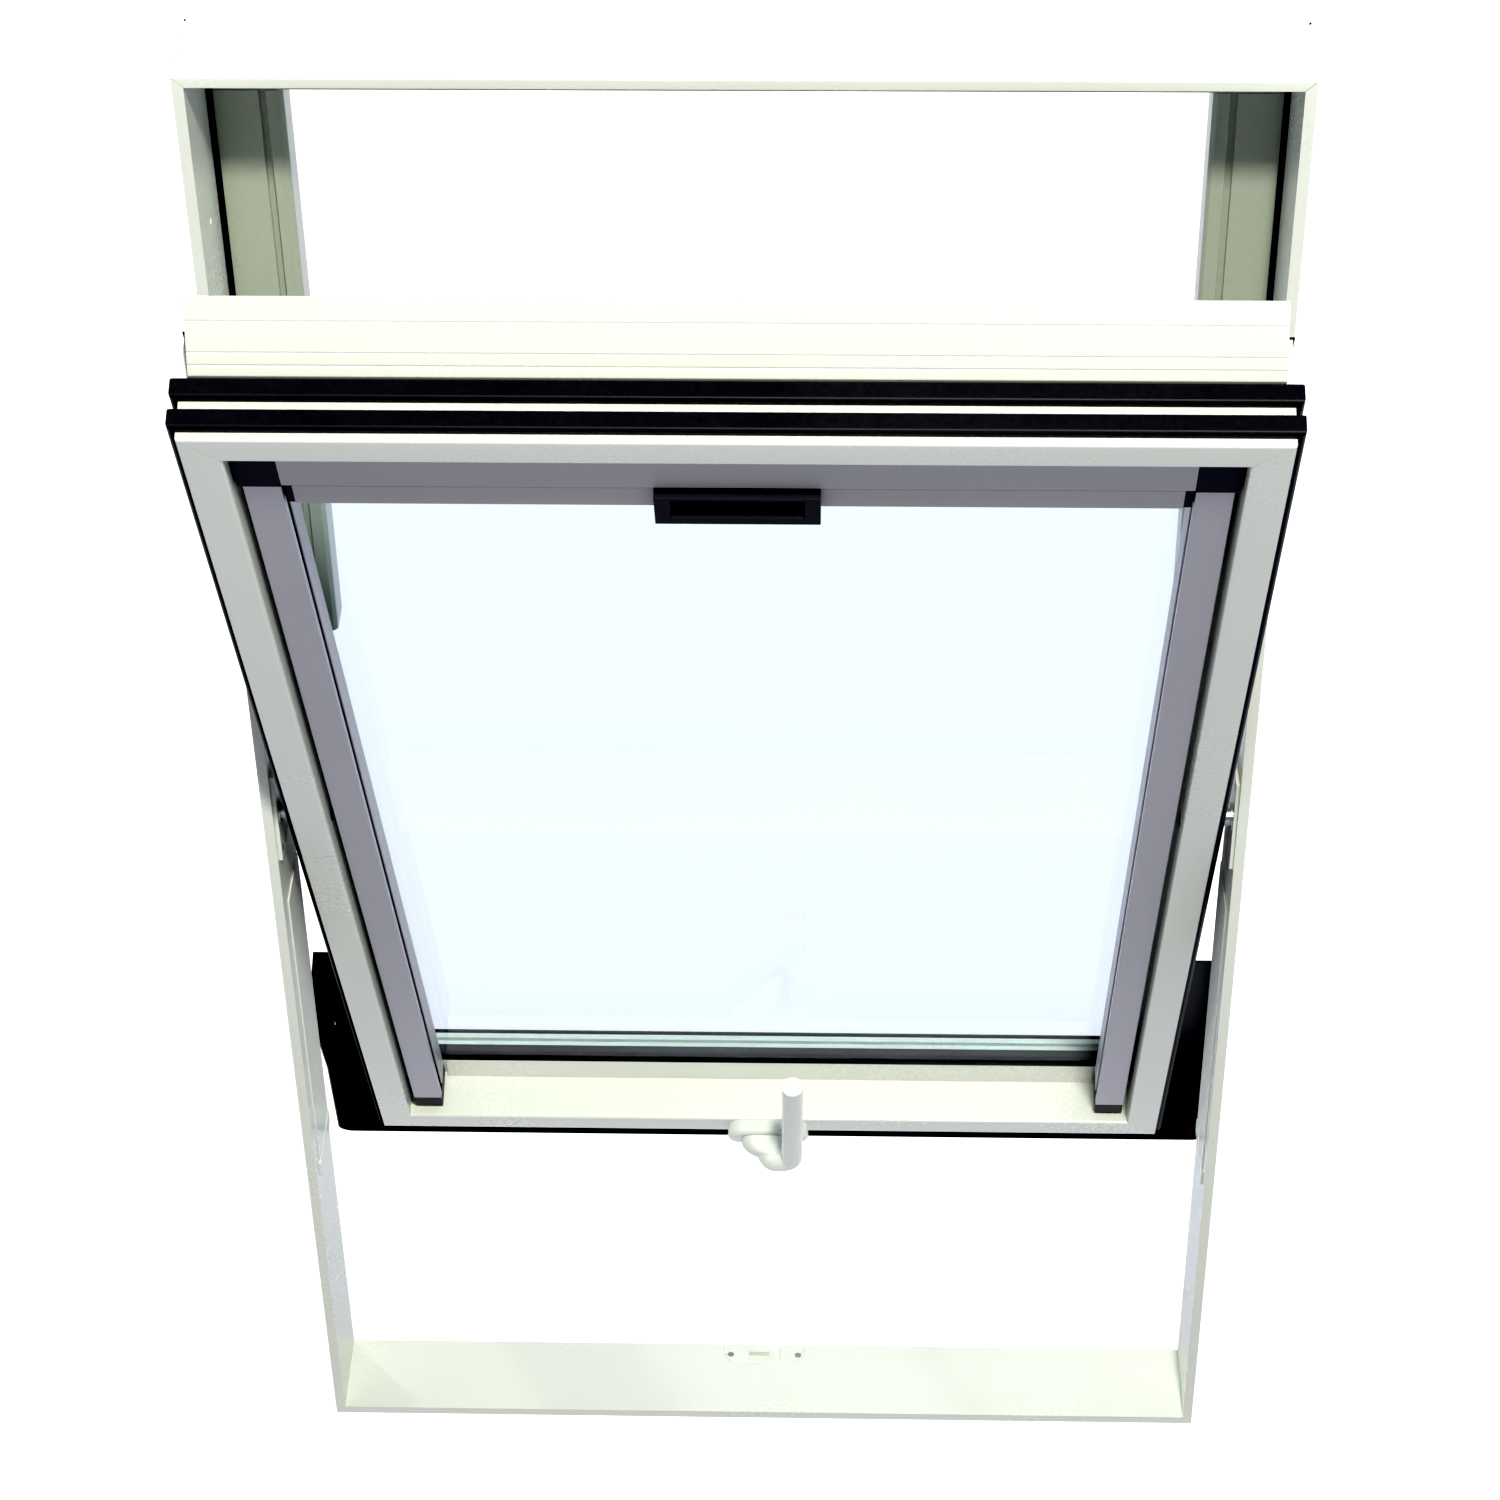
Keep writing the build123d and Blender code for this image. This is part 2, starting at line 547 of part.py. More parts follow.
# --- handle and latch ---
def handle():
    base_top = -14.0
    oval = extrude(
        Plane((0, 0, HANDLE_H), x_dir=(1, 0, 0), z_dir=(0, -1, 0)) * SlotOverall(76, 29), -base_top
    )
    oval = fillet(oval.edges().group_by(Axis.Y)[0], 5.0)
    shell = 2.5
    core = extrude(
        Plane((0, 0, HANDLE_H), x_dir=(1, 0, 0), z_dir=(0, -1, 0))
        * SlotOverall(76 - 2 * shell, 29 - 2 * shell),
        -base_top - 5,
    )
    boss = rod(9, (0, -base_top - 20, HANDLE_H), (0, -7, HANDLE_H))
    oval = (oval - core) + (boss & oval)
    oval -= rod(6.0, (0, -20, HANDLE_H), (0, 5, HANDLE_H))
    sash_piece("handle_rosette", oval)

    start = base_top - GAP
    bend_d, end_d = -37.0, -26.0
    lever_x, lever_top = 25.5, -458.0
    points = [
        (0, start, HANDLE_H), (0, bend_d, HANDLE_H),
        (23, bend_d, HANDLE_H + 6), (lever_x, end_d, lever_top),
    ]
    path = FilletPolyline(*points, radius=10.5)
    lever = sweep(Plane(origin=points[0], z_dir=path % 0) * Circle(LEVER_R), path=path)
    hub_foot = Plane((0, start, HANDLE_H), x_dir=(1, 0, 0), z_dir=(0, -1, 0)) * SlotOverall(50, 23)
    hub_waist = Plane((-2, start - 7, HANDLE_H), x_dir=(1, 0, 0), z_dir=(0, -1, 0)) * SlotOverall(43, 21)
    hub_top = Plane((12, bend_d + 3, HANDLE_H + 2), x_dir=(1, 0, 0), z_dir=(0, -1, 0)) * SlotOverall(27, 18)
    lever += loft([hub_foot, hub_waist, hub_top])
    half = 3.5
    spindle = box((-half, half), (start - 8, LATCH_D + 3), (HANDLE_H - half, HANDLE_H + half))
    lever -= spindle
    sash_piece("handle_lever", lever)
    throw = BAR_TRAVEL / 2
    crank_d = (LATCH_D - 3.5, LATCH_D - 0.6)
    arm = rod(7, (0, crank_d[0], HANDLE_H), (0, crank_d[1], HANDLE_H))
    arm += rod(4.5, (throw, crank_d[0], HANDLE_H - throw), (throw, crank_d[1], HANDLE_H - throw))
    link = Pos(throw / 2, sum(crank_d) / 2, HANDLE_H - throw / 2) * Rot(0, 45, 0) * Box(
        throw * math.sqrt(2), crank_d[1] - crank_d[0], 9
    )
    arm = arm + link
    pin_end = GASKET_D[1] - 0.5
    arm += rod(2.5, (throw, crank_d[1], HANDLE_H - throw), (throw, pin_end, HANDLE_H - throw))
    arm -= spindle
    sash_piece("handle_spindle", spindle)
    sash_piece("latch_crank", arm)


def gearbox_case():
    """Folded steel case that carries the spindle inside the bottom rail."""
    wall = 1.2
    low, high = -SASH_H / 2 + 5.9, -SASH_H / 2 + 24.4
    case = box((-30, 30), (4, 34), (low, high))
    case -= box((-30 + wall, 30 - wall), (4 + wall, 34 - wall), (low - 1, high - wall))
    case -= rod(5.3, (0, 3, HANDLE_H), (0, 40, HANDLE_H))
    sash_piece("latch_gearbox_case", case)


def latch_bar():
    """Flat bar under the bottom rail: a fork for the crank, and an arm back to the latch pin."""
    under = -SASH_H / 2 - FLANK - GAP
    top = -SASH_H / 2 - GASKET_OUT - GAP
    thick = 3.0
    d = (LATCH_D - 4, LATCH_D + 4)
    bar = box((-58, 58), d, (top - thick, top))
    between_gaskets = (GASKET_D[0] + GASKET_LENGTH + 0.1, GASKET_D[1] - 0.1)
    for x in ((-58, -42), (42, 58)):
        bar += box(x, between_gaskets, (top, under))
    throw = BAR_TRAVEL / 2
    fork_d = (LATCH_D, LATCH_D + 3.4)
    pin_z = HANDLE_H - throw
    slot = 3.1
    fork = box((throw - 7, throw + 7), fork_d, (top - thick, pin_z + 4))
    fork -= box((throw - slot, throw + slot), (fork_d[0] - 1, fork_d[1] + 1), (pin_z - 7, pin_z + 5))
    pin_d = PIN_Y + SASH_PROUD
    arm_low, arm_high = -SASH_H / 2 - 41.0, -SASH_H / 2 - 38.5
    arm_x = (PIN_X - 11, PIN_X + 11)
    web = box(arm_x, (LATCH_D - 0.6, LATCH_D + 1.9), (arm_low, top))
    arm = box(arm_x, (LATCH_D - 0.6, pin_d + 4.4), (arm_low, arm_high))
    rail_top = -FRAME_H / 2 + LIP + SASH_DROP
    tip = rail_top - KEEPER_THICK - POCKET + 1.5
    sash_piece("latch_bar", bar + fork + web + arm)
    sash_piece("latch_pin", rod(PIN_SLOT / 2 - 1, (PIN_X, pin_d, tip), (PIN_X, pin_d, arm_low)))


# --- roller blind ---
def headbox():
    front, back = 8.0, BLIND_BACK
    low, high = HEADBOX_H
    wall = 1.5
    outer = section([
        (front, low + 3), (front + 3, low), (back, low),
        (back, high), (front + 4, high), (front, high - 5),
    ])
    inner = section([
        (front + wall, low + 4), (front + 4, low + wall), (back - wall, low + wall),
        (back - wall, high - wall), (front + 5, high - wall), (front + wall, high - 6),
    ])
    half = CHANNEL_IN - 1.0
    shell = extrude(Plane.YZ.offset(-half) * (outer - inner), 2 * half)
    exit_slot = box((-half, half), (15.5, 21.5), (low - 1, low + 4))
    sash_piece("blind_headbox", shell - exit_slot)
    for side, sign in (("left", -1), ("right", 1)):
        x = sorted((sign * half, sign * BLIND_HALF))
        cap = box(x, (front, back), (CHANNEL_H[1], high))
        cap = fillet(cap.edges().filter_by(Axis.X).group_by(Axis.Y)[0], 2.0)
        stub = rod(6.0, (sign * half, ROLLER_D, ROLLER_H), (sign * (half - 8), ROLLER_D, ROLLER_H))
        sash_piece(f"blind_end_cap_{side}", cap + stub)


def roller():
    half = CHANNEL_IN - 4.0
    tube = rod(10, (-half, ROLLER_D, ROLLER_H), (half, ROLLER_D, ROLLER_H))
    tube -= rod(8.5, (-half - 1, ROLLER_D, ROLLER_H), (half + 1, ROLLER_D, ROLLER_H))
    cloth = CHANNEL_IN - 7.0
    roll = rod(16, (-cloth, ROLLER_D, ROLLER_H), (cloth, ROLLER_D, ROLLER_H))
    roll -= rod(10, (-cloth - 1, ROLLER_D, ROLLER_H), (cloth + 1, ROLLER_D, ROLLER_H))
    sash_piece("blind_roller_tube", tube)
    sash_piece("blind_fabric_roll", roll)
    cloth_line = section([(18.2, BAR_H[1]), (18.8, BAR_H[1]), (14.9, ROLLER_H - 14), (14.3, ROLLER_H - 14)])
    sash_piece("blind_fabric_strip", extrude(Plane.YZ.offset(-cloth) * cloth_line, 2 * cloth))


def side_channels():
    wall = 1.5
    slot = (16.0, 24.0)
    depth, height = CHANNEL_D, CHANNEL_H
    caps = []
    for side, sign in (("left", -1), ("right", 1)):
        body = box((CHANNEL_IN, CHANNEL_OUT), depth, height)
        body -= box(
            (CHANNEL_IN + wall, CHANNEL_OUT - wall),
            (depth[0] + wall, depth[1] - wall),
            (height[0] - 1, height[1] + 1),
        )
        body -= box((CHANNEL_IN - 1, CHANNEL_IN + wall + 1), slot, (height[0] - 1, height[1] + 1))
        cap = box((CHANNEL_IN, CHANNEL_OUT), depth, (-611, height[0]))
        cap = fillet(cap.edges().filter_by(Axis.Z).group_by(Axis.Y)[0], 1.5)
        if sign < 0:
            body, cap = mirrored(body), mirrored(cap)
        caps.append(cap)
        sash_piece(f"blind_channel_{side}", body)
    sash_piece("channel_foot_caps", *caps)


def pull_bar():
    half = 300.0
    front, back = BAR_D
    low, high = BAR_H
    outline = section([
        (front, low + 3), (front + 4, low), (back, low),
        (back, high), (front + 3, high), (front, high - 4),
    ])
    bar = extrude(Plane.YZ.offset(-half) * outline, 2 * half)
    bar -= box((-half - 1, half + 1), (front + 2, back - 2), (low + 4, high - 4))
    guides = []
    for sign in (-1, 1):
        x = sorted((sign * (half - 12), sign * (CHANNEL_IN + 14)))
        end = sorted((sign * half, sign * (CHANNEL_IN - 1.2)))
        tongue = box(x, (16.6, 23.0), (low + 5, high - 8))
        guides.append(tongue + box(end, (front + 0.5, back - 0.5), (low + 4, high - 1)))
    sash_piece("blind_pull_bar", bar)
    sash_piece("pull_bar_guides", *guides)
    grip = box((-GRIP_HALF, GRIP_HALF), (2.0, front), (low - 5, high))
    grip += box((-GRIP_HALF, GRIP_HALF), (front - 0.01, front + 6), (low - 5, low - GAP))
    grip = grip - box((-45, 45), (0, front - 1.5), (low + 3.5, high - 3.5))
    sash_piece("blind_grip", grip)


def main():
    os.makedirs("parts", exist_ok=True)
    frame_rails()
    upper_stops()
    stop_gaskets()
    jamb_covers()
    outer_covers()
    hinge_frame_side()
    keepers()
    sash_rails()
    reinforcements()
    outer_profiles()
    outer_gaskets()
    glazing()
    upper_cladding()
    lower_cladding()
    hinge_sash_side()
    handle()
    gearbox_case()
    latch_bar()
    headbox()
    roller()
    side_channels()
    pull_bar()
    print(len(written), "nodes")


main()
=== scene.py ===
import math

import bmesh
import bpy
from mathutils import Matrix, Vector
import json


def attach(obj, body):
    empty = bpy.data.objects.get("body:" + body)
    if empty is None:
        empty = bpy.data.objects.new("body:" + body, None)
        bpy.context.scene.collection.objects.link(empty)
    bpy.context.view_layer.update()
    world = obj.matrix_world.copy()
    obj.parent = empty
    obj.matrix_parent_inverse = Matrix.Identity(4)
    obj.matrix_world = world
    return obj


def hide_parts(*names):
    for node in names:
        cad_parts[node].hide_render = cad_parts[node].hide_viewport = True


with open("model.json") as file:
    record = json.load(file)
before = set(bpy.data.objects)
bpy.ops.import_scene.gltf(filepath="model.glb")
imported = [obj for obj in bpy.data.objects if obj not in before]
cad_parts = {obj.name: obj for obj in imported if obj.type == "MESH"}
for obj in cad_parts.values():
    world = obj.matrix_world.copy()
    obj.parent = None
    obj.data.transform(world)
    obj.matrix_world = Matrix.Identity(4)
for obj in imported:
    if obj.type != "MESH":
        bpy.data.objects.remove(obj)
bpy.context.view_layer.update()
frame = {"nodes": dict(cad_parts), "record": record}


# --- studio -------------------------------------------------------------------------
# A floor that glows, a camera above the room side of the window, one key light with soft
# edges from overhead, and cool light from all round.
KEY_DIRECTION = Vector((0.1155, -0.5845, 0.8033))
KEY_DISTANCE = 4.0
BACK_LIGHT_DIRECTION = Vector((-0.55, 0.62, 0.56))
CAMERA_PLACE = Vector((0.0835, -2.3358, 2.7657))
CAMERA_TURN = (40.533, 1.716, -0.123)
LENS_MM = 93.17

scene = bpy.context.scene
scene.view_settings.view_transform = "Standard"
scene.view_settings.look = "High Contrast"
scene.view_settings.use_curve_mapping = True
scene.view_settings.curve_mapping.black_level = (0.028, 0.028, 0.028)
scene.view_settings.curve_mapping.update()

turn = Vector([math.radians(angle) for angle in CAMERA_TURN])
swing = Matrix.Rotation(turn.length, 3, turn.normalized())
level = Matrix(((1, 0, 0), (0, 0, -1), (0, 1, 0)))
rows = swing @ level
camera_data = bpy.data.cameras.new("camera")
camera_data.lens = LENS_MM
camera_data.sensor_width = 36.0
camera = bpy.data.objects.new("camera", camera_data)
facing = Matrix((rows[0], -rows[1], -rows[2])).transposed().to_4x4()
camera.matrix_world = Matrix.Translation(CAMERA_PLACE) @ facing
scene.collection.objects.link(camera)
scene.camera = camera


def add_sun(name, direction, strength, softness, colour):
    lamp = bpy.data.lights.new(name, "SUN")
    lamp.energy = strength
    lamp.angle = math.radians(softness)
    lamp.color = colour
    holder = bpy.data.objects.new(name, lamp)
    holder.rotation_mode = "QUATERNION"
    holder.rotation_quaternion = direction.to_track_quat("Z", "Y")
    scene.collection.objects.link(holder)


key_data = bpy.data.lights.new("key_light", "POINT")
key_data.energy = 590.0
key_data.shadow_soft_size = 0.21
key_data.color = (1.0, 1.0, 0.91)
key_light = bpy.data.objects.new("key_light", key_data)
key_light.location = Vector((0, 0, 1.4)) + KEY_DISTANCE * KEY_DIRECTION
scene.collection.objects.link(key_light)
add_sun("window_light", BACK_LIGHT_DIRECTION, 0.25, 4.0, (1.0, 1.0, 0.96))

world = bpy.data.worlds.new("studio")
scene.world = world
world.use_nodes = True
sky = world.node_tree
sky_glow = sky.nodes["Background"]
sky_glow.inputs["Color"].default_value = (0.86, 0.88, 1.0, 1)
sky_place = sky.nodes.new("ShaderNodeTexCoord")
sky_axes = sky.nodes.new("ShaderNodeSeparateXYZ")
sky_level = sky.nodes.new("ShaderNodeMapRange")
sky_level.inputs["From Min"].default_value = 0.0
sky_level.inputs["From Max"].default_value = 0.8
sky_level.inputs["To Min"].default_value = 0.06
sky_level.inputs["To Max"].default_value = 0.8
sky.links.new(sky_place.outputs["Generated"], sky_axes.inputs[0])
sky.links.new(sky_axes.outputs["Y"], sky_level.inputs["Value"])
sky.links.new(sky_level.outputs["Result"], sky_glow.inputs["Strength"])
sky_seen = sky.nodes.new("ShaderNodeBackground")
sky_seen.inputs["Color"].default_value = (1, 1, 1, 1)
sky_mix = sky.nodes.new("ShaderNodeMixShader")
sky_ray = sky.nodes.new("ShaderNodeLightPath")
sky.links.new(sky_ray.outputs["Is Camera Ray"], sky_mix.inputs["Fac"])
sky.links.new(sky_glow.outputs[0], sky_mix.inputs[1])
sky.links.new(sky_seen.outputs[0], sky_mix.inputs[2])
sky.links.new(sky_mix.outputs[0], sky.nodes["World Output"].inputs["Surface"])

FLOOR_HALF = 14.0
floor_mesh = bmesh.new()
bmesh.ops.create_grid(floor_mesh, x_segments=1, y_segments=1, size=FLOOR_HALF)
floor_data = bpy.data.meshes.new("floor")
floor_mesh.to_mesh(floor_data)
floor_mesh.free()
floor = bpy.data.objects.new("floor", floor_data)
scene.collection.objects.link(floor)

# The floor glows rather than being lit: white to the camera over a faint shaded diffuse, a flat grey
# glow where seen through the glass, a dim glow in mirror reflections, and for all other rays a glow
# that stands in for bounce light, stronger behind the window than in front.
floor_paint = bpy.data.materials.new("glowing_floor")
floor_paint.use_nodes = True
paint = floor_paint.node_tree
paint.nodes.remove(paint.nodes["Principled BSDF"])
place = paint.nodes.new("ShaderNodeTexCoord")
axes = paint.nodes.new("ShaderNodeSeparateXYZ")
span = paint.nodes.new("ShaderNodeMapRange")
span.inputs["From Min"].default_value = -3.0
span.inputs["From Max"].default_value = 3.0
level = paint.nodes.new("ShaderNodeValToRGB")
level.color_ramp.elements[0].color = (0.75, 0.75, 0.75, 1)
level.color_ramp.elements[1].color = (1.0, 1.0, 1.0, 1)
for forward, brightness in ((-1.3, 0.68), (-0.45, 0.42), (0.15, 0.70), (0.6, 0.98)):
    stop = level.color_ramp.elements.new(0.5 + forward / 6.0)
    stop.color = (brightness, brightness, brightness, 1)
bounce = paint.nodes.new("ShaderNodeEmission")
bounce.inputs["Color"].default_value = (0.90, 0.92, 1.0, 1)
glow = paint.nodes.new("ShaderNodeEmission")
glow.inputs["Color"].default_value = (1.0, 1.0, 1.0, 1)
behind_glass = paint.nodes.new("ShaderNodeEmission")
behind_glass.inputs["Color"].default_value = (0.83, 0.825, 0.835, 1)
shade = paint.nodes.new("ShaderNodeBsdfDiffuse")
shade.inputs["Color"].default_value = (0.09, 0.09, 0.09, 1)
lit = paint.nodes.new("ShaderNodeAddShader")
ray = paint.nodes.new("ShaderNodeLightPath")
mix = paint.nodes.new("ShaderNodeMixShader")
mix_glass = paint.nodes.new("ShaderNodeMixShader")
paint.links.new(place.outputs["Object"], axes.inputs[0])
paint.links.new(axes.outputs["Y"], span.inputs["Value"])
paint.links.new(span.outputs["Result"], level.inputs["Fac"])
paint.links.new(level.outputs["Color"], bounce.inputs["Strength"])
paint.links.new(glow.outputs[0], lit.inputs[0])
paint.links.new(shade.outputs[0], lit.inputs[1])
paint.links.new(ray.outputs["Is Transmission Ray"], mix_glass.inputs["Fac"])
paint.links.new(bounce.outputs[0], mix_glass.inputs[1])
paint.links.new(behind_glass.outputs[0], mix_glass.inputs[2])
mirrored = paint.nodes.new("ShaderNodeMath")
mirrored.operation = "MULTIPLY"
dim = paint.nodes.new("ShaderNodeEmission")
dim.inputs["Strength"].default_value = 0.08
mix_mirror = paint.nodes.new("ShaderNodeMixShader")
paint.links.new(ray.outputs["Is Singular Ray"], mirrored.inputs[0])
paint.links.new(ray.outputs["Is Reflection Ray"], mirrored.inputs[1])
paint.links.new(mirrored.outputs[0], mix_mirror.inputs["Fac"])
paint.links.new(mix_glass.outputs[0], mix_mirror.inputs[1])
paint.links.new(dim.outputs[0], mix_mirror.inputs[2])
paint.links.new(ray.outputs["Is Camera Ray"], mix.inputs["Fac"])
paint.links.new(mix_mirror.outputs[0], mix.inputs[1])
paint.links.new(lit.outputs[0], mix.inputs[2])
paint.links.new(mix.outputs[0], paint.nodes["Material Output"].inputs["Surface"])
floor_data.materials.append(floor_paint)


# --- frame and sash profiles --------------------------------------------------------
# Extruded white PVC, mitred and welded at the corners. The sash hangs on two side
# pivots and stands open, so its lengths are tilted by the opening angle.
OPEN_ANGLE = math.radians(23.65)
BODY_OF = {
    node: body
    for body, members in frame["record"]["behaviour"]["bodies"].items()
    for node in members
}


def new_group(name, inputs, outputs):
    """A shader node group with named sockets, and its input and output nodes."""
    group = bpy.data.node_groups.new(name, "ShaderNodeTree")
    for socket, kind, value in inputs:
        made = group.interface.new_socket(socket, in_out="INPUT", socket_type=kind)
        made.default_value = value
    for socket, kind in outputs:
        group.interface.new_socket(socket, in_out="OUTPUT", socket_type=kind)
    return group, group.nodes.new("NodeGroupInput"), group.nodes.new("NodeGroupOutput")


# Fine lines that an extrusion die leaves, as a height, along the X of its vector.
die_lines, inside, outside = new_group(
    "die_lines",
    [("Vector", "NodeSocketVector", (0, 0, 0)), ("Fineness", "NodeSocketFloat", 260.0)],
    [("Height", "NodeSocketFloat")],
)
stretch = die_lines.nodes.new("ShaderNodeVectorMath")
stretch.operation = "MULTIPLY"
stretch.inputs[1].default_value = (0.004, 1, 1)
lines = die_lines.nodes.new("ShaderNodeTexNoise")
lines.inputs["Detail"].default_value = 2.0
die_lines.links.new(inside.outputs["Vector"], stretch.inputs[0])
die_lines.links.new(stretch.outputs[0], lines.inputs["Vector"])
die_lines.links.new(inside.outputs["Fineness"], lines.inputs["Scale"])
die_lines.links.new(lines.outputs["Fac"], outside.inputs["Height"])

# Slow patches and fine mottle, as a mask about one half, for colour and gloss.
patches, inside, outside = new_group(
    "patches",
    [
        ("Vector", "NodeSocketVector", (0, 0, 0)),
        ("Broad", "NodeSocketFloat", 3.0),
        ("Fine", "NodeSocketFloat", 260.0),
        ("Fine Share", "NodeSocketFloat", 0.35),
    ],
    [("Mask", "NodeSocketFloat")],
)
broad = patches.nodes.new("ShaderNodeTexNoise")
fine = patches.nodes.new("ShaderNodeTexNoise")
for noise, socket in ((broad, "Broad"), (fine, "Fine")):
    noise.inputs["Detail"].default_value = 3.0
    patches.links.new(inside.outputs["Vector"], noise.inputs["Vector"])
    patches.links.new(inside.outputs[socket], noise.inputs["Scale"])
both = patches.nodes.new("ShaderNodeMix")
patches.links.new(inside.outputs["Fine Share"], both.inputs["Factor"])
patches.links.new(broad.outputs["Fac"], both.inputs["A"])
patches.links.new(fine.outputs["Fac"], both.inputs["B"])
patches.links.new(both.outputs["Result"], outside.inputs["Mask"])

# Small pits and grains, as a height: moulded texture, powder coat, rubber bloom.
grain, inside, outside = new_group(
    "grain",
    [
        ("Vector", "NodeSocketVector", (0, 0, 0)),
        ("Size", "NodeSocketFloat", 1400.0),
        ("Softness", "NodeSocketFloat", 1.0),
    ],
    [("Height", "NodeSocketFloat")],
)
cells = grain.nodes.new("ShaderNodeTexVoronoi")
cells.feature = "SMOOTH_F1"
grain.links.new(inside.outputs["Vector"], cells.inputs["Vector"])
grain.links.new(inside.outputs["Size"], cells.inputs["Scale"])
grain.links.new(inside.outputs["Softness"], cells.inputs["Smoothness"])
grain.links.new(cells.outputs["Distance"], outside.inputs["Height"])


def finish_material(
    name, light, dark, rough, relief, relief_depth=0.0001, relief_size=None, run=(0, 0, 0),
    metal=0.0, coat=0.0, specular=0.5, rough_spread=0.06, broad=3.0, fine=260.0,
    fine_share=0.35,
):
    """A Principled finish whose colour and gloss drift, with one relief group as its bump.
    run turns the pattern, in degrees, so that lines follow the length of a profile."""
    material = bpy.data.materials.new(name)
    material.use_nodes = True
    tree = material.node_tree
    shader = tree.nodes["Principled BSDF"]
    place = tree.nodes.new("ShaderNodeTexCoord")
    turned = tree.nodes.new("ShaderNodeMapping")
    turned.vector_type = "TEXTURE"
    turned.inputs["Rotation"].default_value = [math.radians(angle) for angle in run]
    tree.links.new(place.outputs["Object"], turned.inputs["Vector"])
    drift = tree.nodes.new("ShaderNodeGroup")
    drift.node_tree = patches
    drift.inputs["Broad"].default_value = broad
    drift.inputs["Fine"].default_value = fine
    drift.inputs["Fine Share"].default_value = fine_share
    tree.links.new(turned.outputs["Vector"], drift.inputs["Vector"])
    tint = tree.nodes.new("ShaderNodeMix")
    tint.data_type = "RGBA"
    tint.inputs["A"].default_value = (*dark, 1)
    tint.inputs["B"].default_value = (*light, 1)
    sharpen = tree.nodes.new("ShaderNodeMapRange")
    sharpen.inputs["From Min"].default_value = 0.3
    sharpen.inputs["From Max"].default_value = 0.7
    tree.links.new(drift.outputs["Mask"], sharpen.inputs["Value"])
    tree.links.new(sharpen.outputs["Result"], tint.inputs["Factor"])
    tree.links.new(tint.outputs["Result"], shader.inputs["Base Color"])
    gloss = tree.nodes.new("ShaderNodeMapRange")
    gloss.inputs["To Min"].default_value = rough - rough_spread
    gloss.inputs["To Max"].default_value = rough + rough_spread
    tree.links.new(drift.outputs["Mask"], gloss.inputs["Value"])
    tree.links.new(gloss.outputs["Result"], shader.inputs["Roughness"])
    height = tree.nodes.new("ShaderNodeGroup")
    height.node_tree = relief
    if relief_size:
        size_socket = "Fineness" if relief == die_lines else "Size"
        height.inputs[size_socket].default_value = relief_size
    tree.links.new(turned.outputs["Vector"], height.inputs["Vector"])
    bump = tree.nodes.new("ShaderNodeBump")
    bump.inputs["Distance"].default_value = relief_depth
    tree.links.new(height.outputs["Height"], bump.inputs["Height"])
    tree.links.new(bump.outputs["Normal"], shader.inputs["Normal"])
    shader.inputs["Metallic"].default_value = metal
    shader.inputs["Coat Weight"].default_value = coat
    shader.inputs["Specular IOR Level"].default_value = specular
    return material


def eased(node, material, ease, segments=2, name=None, sharp=30.0):
    """Stands for a CAD node with the small rounding that the real edges have."""
    mesh = frame["nodes"][node].data.copy()
    shape = bmesh.new()
    shape.from_mesh(mesh)
    bmesh.ops.remove_doubles(shape, verts=shape.verts, dist=1e-5)
    bmesh.ops.dissolve_limit(
        shape, angle_limit=math.radians(1.0), verts=shape.verts, edges=shape.edges,
        delimit={"NORMAL"},
    )
    corners = [
        edge for edge in shape.edges
        if len(edge.link_faces) == 2 and edge.calc_face_angle(0) > math.radians(sharp)
    ]
    if ease:
        bmesh.ops.bevel(
            shape, geom=corners, offset=ease, offset_type="OFFSET", affect="EDGES",
            segments=segments, profile=0.5, material=-1, clamp_overlap=True,
        )
    for face in shape.faces:
        face.smooth = True
    shape.to_mesh(mesh)
    shape.free()
    mesh.set_sharp_from_angle(angle=math.radians(40))
    mesh.materials.clear()
    mesh.materials.append(material)
    piece = bpy.data.objects.new(name or node + "_shaped", mesh)
    scene.collection.objects.link(piece)
    even = piece.modifiers.new("even_shading", "WEIGHTED_NORMAL")
    even.keep_sharp = True
    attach(piece, BODY_OF[node])
    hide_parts(node)
    return piece


def finish_node(node, material):
    """A CAD node whose shape is right keeps it, and takes a better finish."""
    data = frame["nodes"][node].data
    data.materials.clear()
    data.materials.append(material)
    for face in data.polygons:
        face.use_smooth = False


TILT = math.degrees(OPEN_ANGLE)
PVC_LIGHT = (0.84, 0.86, 0.79)
PVC_DARK = (0.82, 0.84, 0.77)
pvc = dict(light=PVC_LIGHT, dark=PVC_DARK, rough=0.27, relief=die_lines, relief_depth=0.000003, coat=0.15, rough_spread=0.03, fine_share=0.2)
pvc_across = finish_material("white_pvc_rail", run=(0, 0, 0), **pvc)
pvc_upright = finish_material("white_pvc_jamb", run=(0, -90, 0), **pvc)
pvc_sash_rail = finish_material("white_pvc_sash_rail", run=(TILT, 0, 0), **pvc)
pvc_sash_stile = finish_material("white_pvc_sash_stile", run=(TILT, -90, 0), **pvc)

EDGE = 0.0009
for node in ("frame_rail_top", "frame_rail_bottom"):
    eased(node, pvc_across, EDGE)
for node in ("frame_jamb_left", "frame_jamb_right"):
    eased(node, pvc_upright, EDGE)
for node in ("sash_rail_top", "sash_rail_bottom"):
    eased(node, pvc_sash_rail, EDGE)
for node in ("sash_stile_left", "sash_stile_right"):
    eased(node, pvc_sash_stile, EDGE)
for node in ("sash_head_profile", "sash_foot_profile"):
    eased(node, pvc_sash_rail, EDGE)
eased("glazing_beads", pvc_sash_rail, 0.0005)
